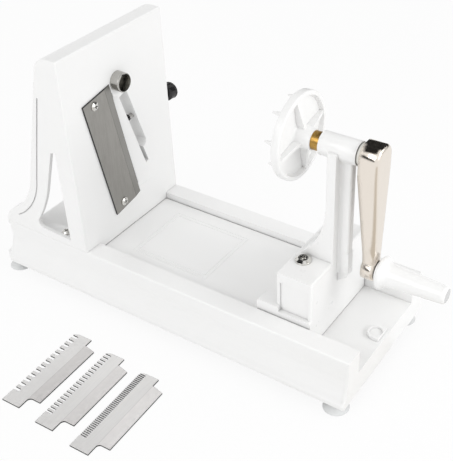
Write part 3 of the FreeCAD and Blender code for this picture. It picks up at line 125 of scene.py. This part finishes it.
def painted_crevice_shade(tree, reach, colour, shade, depth=(0.3, 0.62)):
    """Paints shade into the colour where two surfaces nearly meet, such as gaps and inner corners.
    """
    closeness = tree.nodes.new("ShaderNodeAmbientOcclusion")
    closeness.samples = 8
    closeness.inputs["Distance"].default_value = reach
    near = ranged(tree, closeness.outputs["AO"], depth, 1, 0)
    return laid_over(tree, near, colour, shade)


def rounded_normal(tree, radius):
    """The surface's direction as if its edges were rounded."""
    rounded = tree.nodes.new("ShaderNodeBevel")
    rounded.samples = 8
    rounded.inputs["Radius"].default_value = radius
    return rounded


def corner_line(tree, reach):
    """A mask along every edge where two faces meet, even at a slight angle."""
    rounded = rounded_normal(tree, reach)
    true_side = tree.nodes.new("ShaderNodeNewGeometry")
    match = tree.nodes.new("ShaderNodeVectorMath")
    match.operation = "DOT_PRODUCT"
    tree.links.new(rounded.outputs["Normal"], match.inputs[0])
    tree.links.new(true_side.outputs["True Normal"], match.inputs[1])
    return ranged(tree, match.outputs["Value"], (0.998, 0.9998), 1, 0)


def darker(colour, share):
    """A colour with a share of its light."""
    return tuple(value * share for value in colour)


# Finishes

GAP_REACH = 1.8 * MM
HOLLOW_REACH = 12 * MM
SCRATCH_DEPTH = 0.03 * MM


def moulded(name, colour, roughness, grain=1100, depth=0.012 * MM, gap_shade=0.2, hollow_shade=1):
    """Injection moulded plastic: faint flow clouds, a fine skin, uneven gloss, painted shade in
    gaps, and painted shade in hollows when hollow_shade is below 1.
    """
    material, tree, shader = new_material(name, colour, roughness)
    clouds = noise(tree, 22, (0.4, 1, 1), Detail=3, Roughness=0.5)
    clouded = tinted(tree, clouds.outputs["Fac"], darker(colour, 0.985), colour)
    # Painted shade in gaps and inner corners, and broader painted shade in hollows.
    shaded = painted_crevice_shade(tree, GAP_REACH, clouded, darker(colour, gap_shade))
    if hollow_shade < 1:
        shade = darker(colour, hollow_shade)
        shaded = painted_crevice_shade(tree, HOLLOW_REACH, shaded, shade, (0.2, 0.7))
    tree.links.new(shaded, shader.inputs["Base Color"])
    sink = noise(tree, 14, Detail=1)
    swell = relief(tree, shader, sink.outputs["Fac"], 0.12, 0.15 * MM)
    skin = noise(tree, grain, Detail=2, Roughness=0.6)
    relief(tree, shader, skin.outputs["Fac"], 0.2, depth, swell)
    gloss = noise(tree, 60, Detail=4, Roughness=0.6)
    uneven = ranged(tree, gloss.outputs["Fac"], (0.3, 0.7), roughness * 0.88, roughness * 1.14)
    tree.links.new(uneven, shader.inputs["Roughness"])
    return material


def slid_on(name, colour, roughness):
    """The plate that things slide on: moulded plastic with fine rub marks along the base."""
    material = moulded(name, colour, roughness)
    tree = material.node_tree
    shader = tree.nodes["Principled BSDF"]
    rubs = noise(tree, 700, (0.03, 1, 1), Detail=2, Roughness=0.7)
    rubbed = ranged(tree, rubs.outputs["Fac"], (0.45, 0.75), roughness * 0.95, roughness * 1.1)
    tree.links.new(rubbed, shader.inputs["Roughness"])
    return material


def ground_steel(name, colour, roughness, along, scratch=0.3):
    """Ground steel: fine scratches that run one way, clouded colour and gloss, and painted shade
    in its crevices.
    """
    material, tree, shader = new_material(name, colour, roughness, 1.0)
    stretch = tuple(0.04 if axis == along else 1 for axis in "xyz")
    lines = noise(tree, 1800, stretch, Detail=3, Roughness=0.7)
    relief(tree, shader, lines.outputs["Fac"], scratch, SCRATCH_DEPTH)
    clouds = noise(tree, 90, Detail=5, Roughness=0.65)
    uneven = ranged(tree, clouds.outputs["Fac"], (0.3, 0.7), roughness * 0.8, roughness * 1.25)
    tree.links.new(uneven, shader.inputs["Roughness"])
    streaked = tinted(tree, lines.outputs["Fac"], darker(colour, 0.9), colour, (0.35, 0.6))
    # Painted shade in crevices.
    shaded = painted_crevice_shade(tree, 1.2 * MM, streaked, darker(colour, 0.25), (0.2, 0.7))
    tree.links.new(shaded, shader.inputs["Base Color"])
    return material


def paint_edge_shade(material, across, dull, bevelled=None):
    """Sheet steel with painted shade on its cut edges and in its crevices; a ground bevel may have
    its own colour, and then a painted dark line, standing for shade, runs along every edge.
    """
    tree = material.node_tree
    shader = tree.nodes["Principled BSDF"]
    face = tree.nodes.new("ShaderNodeSeparateXYZ")
    tree.links.new(coordinates(tree, "Normal"), face.inputs["Vector"])
    flat = tree.nodes.new("ShaderNodeMath")
    flat.operation = "ABSOLUTE"
    tree.links.new(face.outputs[across], flat.inputs[0])
    # Faces standing across the sheet are its cut edges: they get painted shade.
    edge = ranged(tree, flat.outputs["Value"], (0.35, 0.6), 1, 0)
    plain = shader.inputs["Base Color"].links[0].from_socket
    if bevelled:
        slope = ranged(tree, flat.outputs["Value"], (0.985, 0.998), 1, 0)
        plain = laid_over(tree, slope, plain, bevelled)
        # A painted dark line along every edge stands for the shade there.
        plain = laid_over(tree, corner_line(tree, 0.5 * MM), plain, darker(bevelled, 0.25))
    # Painted shade in crevices.
    plain = painted_crevice_shade(tree, 1 * MM, plain, dull)
    tree.links.new(laid_over(tree, edge, plain, dull), shader.inputs["Base Color"])
    return material


COMB_STRIP = 15.7 * MM
# The strip's own tone; its difference from the back is painted light on the bend between them.
COMB_BRIGHT = (0.88, 0.87, 0.86)
# Painted shade for the cut edges of the combs.
PAINTED_EDGE_SHADE = (0.004, 0.004, 0.004)


def comb_steel(name, corner, turn, dull):
    """A comb blade: a scratch-lined strip with the teeth and a clouded back, in two tones painted
    for the light on the bend between them, a painted shade line along the bend, and painted shade
    along every edge.
    """
    material, tree, shader = new_material(name, dull, 0.42, 0.45)
    across = tree.nodes.new("ShaderNodeSeparateXYZ")
    tree.links.new(coordinates(tree, origin=corner, turn=turn), across.inputs["Vector"])
    place = across.outputs["X"]
    lines = noise(tree, 1500, (1, 0.05, 1), Detail=3, Roughness=0.7)
    clouds = noise(tree, 260, Detail=4, Roughness=0.7)
    # Strip and back differ in tone: painted light standing for the bend between them.
    ground = tinted(tree, lines.outputs["Fac"], darker(COMB_BRIGHT, 0.94), COMB_BRIGHT)
    clouded = tinted(tree, clouds.outputs["Fac"], darker(dull, 0.93), dull)
    back = ranged(tree, place, (COMB_STRIP - 0.2 * MM, COMB_STRIP + 0.2 * MM), 0, 1)
    body = laid_over(tree, back, ground, clouded)
    # A painted shade line along the bend between strip and back.
    near = ranged(tree, place, (COMB_STRIP - 0.4 * MM, COMB_STRIP - 0.1 * MM), 0, 0.45)
    beyond = ranged(tree, place, (COMB_STRIP, COMB_STRIP + 0.3 * MM), 1, 0)
    line = tree.nodes.new("ShaderNodeMath")
    line.operation = "MULTIPLY"
    tree.links.new(near, line.inputs[0])
    tree.links.new(beyond, line.inputs[1])
    with_painted_bend_shade = laid_over(tree, line.outputs["Value"], body, darker(dull, 0.6))
    relief(tree, shader, lines.outputs["Fac"], 0.25, SCRATCH_DEPTH)
    uneven = ranged(tree, clouds.outputs["Fac"], (0.3, 0.7), 0.34, 0.5)
    tree.links.new(uneven, shader.inputs["Roughness"])
    # Painted shade along every edge of the sheet.
    edged = laid_over(tree, corner_line(tree, 0.2 * MM), with_painted_bend_shade, darker(dull, 0.12))
    tree.links.new(edged, shader.inputs["Base Color"])
    return paint_edge_shade(material, "Z", PAINTED_EDGE_SHADE)


def polished(name, colour, roughness, edge_radius):
    """Bright plating: mirror gloss, rounded edges, a slight swell, faint polishing haze and
    painted shade in its crevices.
    """
    material, tree, shader = new_material(name, colour, roughness, 1.0)
    swell = noise(tree, 45, (1, 1, 0.35), Detail=1)
    rounding = rounded_normal(tree, edge_radius)
    relief(tree, shader, swell.outputs["Fac"], 0.08, 0.2 * MM, rounding)
    haze = noise(tree, 240, (1, 1, 0.2), Detail=4, Roughness=0.7)
    uneven = ranged(tree, haze.outputs["Fac"], (0.3, 0.75), roughness * 0.7, roughness * 1.6)
    tree.links.new(uneven, shader.inputs["Roughness"])
    hazed = tinted(tree, haze.outputs["Fac"], darker(colour, 0.97), colour)
    # Painted shade in crevices.
    shaded = painted_crevice_shade(tree, 1.5 * MM, hazed, darker(colour, 0.2), (0.15, 0.6))
    tree.links.new(shaded, shader.inputs["Base Color"])
    return material


WHITE = (0.89, 0.89, 0.885)
BRIGHT_WHITE = (0.9, 0.9, 0.895)
# These whites carry painted shade in gaps and in hollows.
white = moulded("white plastic", WHITE, 0.34, hollow_shade=0.85)
# The carriage's copy of the white plastic is glossier and has deeper painted shade in its hollows.
carriage_white = moulded("white plastic of the carriage", WHITE, 0.3, hollow_shade=0.72)
plate_white = slid_on("white plastic of the plate", WHITE, 0.3)
wheel_white = moulded("white plastic of the wheel", BRIGHT_WHITE, 0.36, gap_shade=0.6)
grip_white = moulded("white plastic of the grip", BRIGHT_WHITE, 0.22, grain=700, gap_shade=0.6)
rubber = moulded("pale rubber", (0.74, 0.75, 0.75), 0.7, grain=1500, depth=0.03 * MM)
knob_black = moulded("black plastic", (0.012, 0.012, 0.013), 0.22, grain=1400)
nylon = moulded("natural nylon", (0.8, 0.79, 0.74), 0.42)
cap_grey = moulded("grey plastic", (0.6, 0.6, 0.6), 0.45)
blade_ground = ground_steel("ground steel", (0.355, 0.345, 0.325), 0.38, "z")
# The blade's cut edges and crevices get painted shade of 0.05; its bevel has its own colour with a
# painted dark line along every edge.
blade_steel = paint_edge_shade(blade_ground, "X", (0.05, 0.05, 0.05), (0.28, 0.275, 0.26))
plated = ground_steel("plated steel", (0.66, 0.65, 0.63), 0.14, "x", 0.06)
chrome = polished("polished chrome", (0.83, 0.765, 0.69), 0.06, 4.5 * MM)
screw_chrome = polished("plated screw steel", (0.72, 0.71, 0.68), 0.15, 0.3 * MM)
tube_steel = ground_steel("steel of the core tube", (0.5, 0.49, 0.465), 0.2, "x", 0.1)
brass = ground_steel("brass", (0.5, 0.3, 0.08), 0.3, "x", 0.2)

FINISH = {
    white: ["base_body", "carriage_catch", "blade_stand"],
    carriage_white: ["tower"],
    plate_white: ["carriage_plate"],
    wheel_white: ["spiked_wheel"],
    grip_white: ["handle_grip"],
    rubber: ["rubber_feet"],
    knob_black: ["clamp_pad", "clamp_knob"],
    nylon: ["shaft_bushings", "thrust_washer"],
    cap_grey: ["grip_end_cap"],
    blade_steel: ["main_blade"],
    tube_steel: ["core_tube"],
    screw_chrome: ["stand_screws", "tower_screws", "main_blade_screws"],
    plated: ["clamp_screw", "tower_nuts", "crank_shaft", "wheel_screw",
             "handle_spindle", "spindle_rivet"],
    chrome: ["crank_arm"],
    brass: ["clamp_insert", "knurled_collar"],
}

# The three combs lie in a row, each a step further along and nearer to the front.
COMB_TURN = math.radians(1.8)
FIRST_CORNER = (-49.5, -170.4)
CORNER_STEP = (34.2, -2.7)
COMB_BACKS = {
    "coarse": (0.77, 0.75, 0.74),
    "medium": (0.84, 0.82, 0.81),
    "fine": (0.93, 0.91, 0.9),
}
for number, (comb, back) in enumerate(COMB_BACKS.items()):
    corner = (
        (FIRST_CORNER[0] + CORNER_STEP[0] * number) * MM,
        (FIRST_CORNER[1] + CORNER_STEP[1] * number) * MM,
        0,
    )
    finish = comb_steel(f"sheet steel of the {comb} comb", corner, COMB_TURN, back)
    FINISH[finish] = [f"comb_blade_{comb}"]

for finish, names in FINISH.items():
    for name in names:
        nodes[name].data.materials.clear()
        nodes[name].data.materials.append(finish)


# Softly rounded edges on the CAD pieces

SOFT_EDGE = {
    "base_body": 0.5, "carriage_catch": 0.3, "blade_stand": 0.5, "tower": 0.4,
    "carriage_plate": 0.25, "spiked_wheel": 0.25, "handle_grip": 0.3, "clamp_knob": 0.25,
    "crank_arm": 0.3, "rubber_feet": 0.3, "core_tube": 0.15, "main_blade": 0.1,
    "thrust_washer": 0.2,
}


def soften(piece, width):
    """Joins a piece's loose triangles into flat faces and rounds its sharp edges."""
    weld = piece.modifiers.new("weld", "WELD")
    weld.merge_threshold = 0.002 * MM
    merge = piece.modifiers.new("flat faces", "DECIMATE")
    merge.decimate_type = "DISSOLVE"
    merge.angle_limit = math.radians(0.2)
    edge = piece.modifiers.new("edges", "BEVEL")
    edge.width = width
    edge.segments = 2
    edge.limit_method = "ANGLE"
    edge.angle_limit = math.radians(35)
    edge.use_clamp_overlap = True
    edge.harden_normals = True


for name, width in SOFT_EDGE.items():
    soften(nodes[name], width * MM)


# Raised double frame moulded on the carriage plate

def new_piece(name, shape, finish, body):
    """Turns a bmesh into a piece that rides on a body and takes its finish from a slot."""
    bmesh.ops.remove_doubles(shape, verts=shape.verts, dist=0.001 * MM)
    bmesh.ops.recalc_face_normals(shape, faces=shape.faces)
    mesh = bpy.data.meshes.new(name)
    shape.to_mesh(mesh)
    shape.free()
    mesh.materials.append(finish)
    piece = bpy.data.objects.new(name, mesh)
    scene.collection.objects.link(piece)
    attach(piece, body)


RIDGE_WIDTH = 1.1 * MM
RIDGE_HEIGHT = 0.25 * MM


def raised_frame(name, low, high, floor_z):
    """A low rounded ridge round a rectangle, standing on a surface."""
    shape = bmesh.new()
    bmesh.ops.create_cube(shape, size=1)
    size = (high[0] - low[0], high[1] - low[1], RIDGE_HEIGHT)
    bmesh.ops.scale(shape, verts=shape.verts, vec=size)
    half_way_up = floor_z + RIDGE_HEIGHT / 2
    middle = ((low[0] + high[0]) / 2, (low[1] + high[1]) / 2, half_way_up)
    bmesh.ops.translate(shape, verts=shape.verts, vec=middle)
    shape.normal_update()
    lids = [face for face in shape.faces if abs(face.normal.z) > 0.5]
    bmesh.ops.inset_individual(shape, faces=lids, thickness=RIDGE_WIDTH, use_even_offset=True)
    openings = [edge for lid in lids for edge in lid.edges]
    bmesh.ops.delete(shape, geom=lids, context="FACES_ONLY")
    bmesh.ops.bridge_loops(shape, edges=openings)
    shape.normal_update()
    rims = [edge for edge in shape.edges
            if min(vert.co.z for vert in edge.verts) > half_way_up
            and min(abs(face.normal.z) for face in edge.link_faces) < 0.5]
    bmesh.ops.bevel(shape, geom=rims, offset=RIDGE_HEIGHT * 0.6, segments=2, profile=0.5,
                    affect="EDGES", material=-1)
    new_piece(name, shape, plate_white, "carriage")


plate_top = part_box("carriage_plate")[1].z
OUTER_LOW, OUTER_HIGH = (-44 * MM, -28.5 * MM), (25.5 * MM, 29.5 * MM)
INNER_LOW, INNER_HIGH = (-41 * MM, -25.5 * MM), (22.5 * MM, 26.5 * MM)
raised_frame("plate_frame_outer", OUTER_LOW, OUTER_HIGH, plate_top)
raised_frame("plate_frame_inner", INNER_LOW, INNER_HIGH, plate_top)


# Camera, matched to the photograph's perspective

camera_data = bpy.data.cameras.new("camera")
camera = bpy.data.objects.new("camera", camera_data)
scene.collection.objects.link(camera)
scene.camera = camera
LOOK_AT = Vector((0.05381, 0.00009, 0.0851))
AZIMUTH = math.radians(34.18)
ELEVATION = math.radians(35.81)
ROLL = math.radians(-1.72)
DISTANCE = 0.62709
towards = Vector((
    math.sin(AZIMUTH) * math.cos(ELEVATION),
    -math.cos(AZIMUTH) * math.cos(ELEVATION),
    math.sin(ELEVATION),
))
right = Vector((math.cos(AZIMUTH), math.sin(AZIMUTH), 0))
up = towards.cross(right)
turned_right = right * math.cos(ROLL) + up * math.sin(ROLL)
turned_up = up * math.cos(ROLL) - right * math.sin(ROLL)
stand_point = Matrix((turned_right, turned_up, towards)).transposed().to_4x4()
stand_point.translation = LOOK_AT + towards * DISTANCE
camera.matrix_world = stand_point
PICTURE_WIDTH, PICTURE_HEIGHT = 453, 461
FOCAL_PIXELS = 874.04
AXIS_COLUMN, AXIS_ROW = 257.22, 223.56
SENSOR = 36
camera_data.sensor_width = SENSOR
camera_data.sensor_fit = "AUTO"
camera_data.lens = SENSOR * FOCAL_PIXELS / PICTURE_HEIGHT
camera_data.shift_x = -(AXIS_COLUMN - PICTURE_WIDTH / 2) / PICTURE_HEIGHT
camera_data.shift_y = (AXIS_ROW - PICTURE_HEIGHT / 2) / PICTURE_HEIGHT
camera_data.clip_start = 0.01
camera_data.clip_end = 20


# Floor, world, lamps and the dark cards that bright metal mirrors

def shown_white(tree, shaded, share):
    """Mixes plain white into a shader for the rays of the camera, mirrors and glass."""
    rays = tree.nodes.new("ShaderNodeLightPath")
    seen = rays.outputs["Is Camera Ray"]
    for kind in ("Is Glossy Ray", "Is Transmission Ray"):
        either = tree.nodes.new("ShaderNodeMath")
        either.operation = "MAXIMUM"
        tree.links.new(seen, either.inputs[0])
        tree.links.new(rays.outputs[kind], either.inputs[1])
        seen = either.outputs["Value"]
    part = tree.nodes.new("ShaderNodeMath")
    part.operation = "MULTIPLY"
    part.inputs[1].default_value = share
    tree.links.new(seen, part.inputs[0])
    plain = tree.nodes.new("ShaderNodeEmission")
    plain.inputs["Strength"].default_value = 1
    both = tree.nodes.new("ShaderNodeMixShader")
    tree.links.new(part.outputs["Value"], both.inputs["Fac"])
    tree.links.new(shaded, both.inputs[1])
    tree.links.new(plain.outputs["Emission"], both.inputs[2])
    return both.outputs["Shader"]


def sheet(name, size, placement, material):
    """A flat sheet of the studio, not part of the object."""
    mesh = bpy.data.meshes.new(name)
    shape = bmesh.new()
    bmesh.ops.create_grid(shape, x_segments=1, y_segments=1, size=1)
    bmesh.ops.scale(shape, verts=shape.verts, vec=(size[0] / 2, size[1] / 2, 1))
    bmesh.ops.transform(shape, matrix=placement, verts=shape.verts)
    shape.to_mesh(mesh)
    shape.free()
    mesh.materials.append(material)
    thing = bpy.data.objects.new(name, mesh)
    scene.collection.objects.link(thing)
    return thing


def facing(place, aim):
    """A placement at a point, its -Z towards another point."""
    turn = (Vector(aim) - Vector(place)).to_track_quat("-Z", "Y").to_matrix().to_4x4()
    return Matrix.Translation(Vector(place)) @ turn


floor_finish, tree, shader = new_material("pale floor", (0.85, 0.85, 0.85), 0.9)
shader.inputs["Specular IOR Level"].default_value = 0
FLOOR_WHITE_SHARE = 0.9
tree.links.new(shown_white(tree, shader.outputs["BSDF"], FLOOR_WHITE_SHARE),
               tree.nodes["Material Output"].inputs["Surface"])
sheet("floor", (12, 12), Matrix.Identity(4), floor_finish)

world = bpy.data.worlds.new("studio")
scene.world = world
world.use_nodes = True
tree = world.node_tree
backdrop = tree.nodes["Background"]
backdrop.inputs["Color"].default_value = (1, 1, 1, 1)
backdrop.inputs["Strength"].default_value = 0.76
tree.links.new(shown_white(tree, backdrop.outputs["Background"], 1),
               tree.nodes["World Output"].inputs["Surface"])

# Cards that only mirror-like surfaces see: they give the crank's head and corner their dark bands.
card_black = new_material("black card", (0.01, 0.01, 0.01), 0.9)[0]
card_tan = new_material("tan card", (0.6, 0.56, 0.5), 0.9)[0]
CRANK_TOP = (0.143, 0, 0.178)
STAND_TOP = (-0.12, 0, 0.19)
LOW_SPOT = Matrix.Translation((0.27, -0.09, 0.002)) @ Matrix.Rotation(-AZIMUTH, 4, "Z")
for name, size, placement, paint in (
    ("card_behind", (0.25, 0.22), facing((0.125, 0.13, 0.26), CRANK_TOP), card_black),
    ("card_beyond_stand", (0.3, 0.12), facing((-0.256, 0.2, 0.385), STAND_TOP), card_black),
    ("card_overhead", (1.1, 1.1), facing((-0.33, -0.02, 1.1), CRANK_TOP), card_black),
    ("card_front", (1.2, 0.4), facing((-0.45, -1, 0.28), CRANK_TOP), card_black),
    ("card_right", (2.4, 0.45), facing((1.8, 1.5, 0.38), CRANK_TOP), card_black),
    ("card_low", (0.3, 0.2), LOW_SPOT, card_tan),
):
    card = sheet(name, size, placement, paint)
    card.visible_camera = False
    card.visible_diffuse = False
    card.visible_shadow = False
    card.visible_transmission = False


def lamp(name, place, size, power, aim=(0, 0, 0.08)):
    """A soft rectangular lamp at a point, turned towards another."""
    data = bpy.data.lights.new(name, "AREA")
    data.shape = "RECTANGLE"
    data.size, data.size_y = size
    data.energy = power
    thing = bpy.data.objects.new(name, data)
    scene.collection.objects.link(thing)
    thing.matrix_world = facing(place, aim)


lamp("key_lamp", (-0.25, -1.25, 0.9), (0.9, 0.9), 5.9)
lamp("side_lamp", (1.5, -0.2, 0.6), (0.9, 0.7), 2.2)
lamp("near_side_lamp", (0.75, 0.1, 0.48), (0.3, 0.3), 1.3, (0.12, 0, 0.1))
lamp("rim_lamp", (0.95, 1.0, 0.8), (0.5, 0.5), 1.3)

scene.view_settings.view_transform = "Standard"
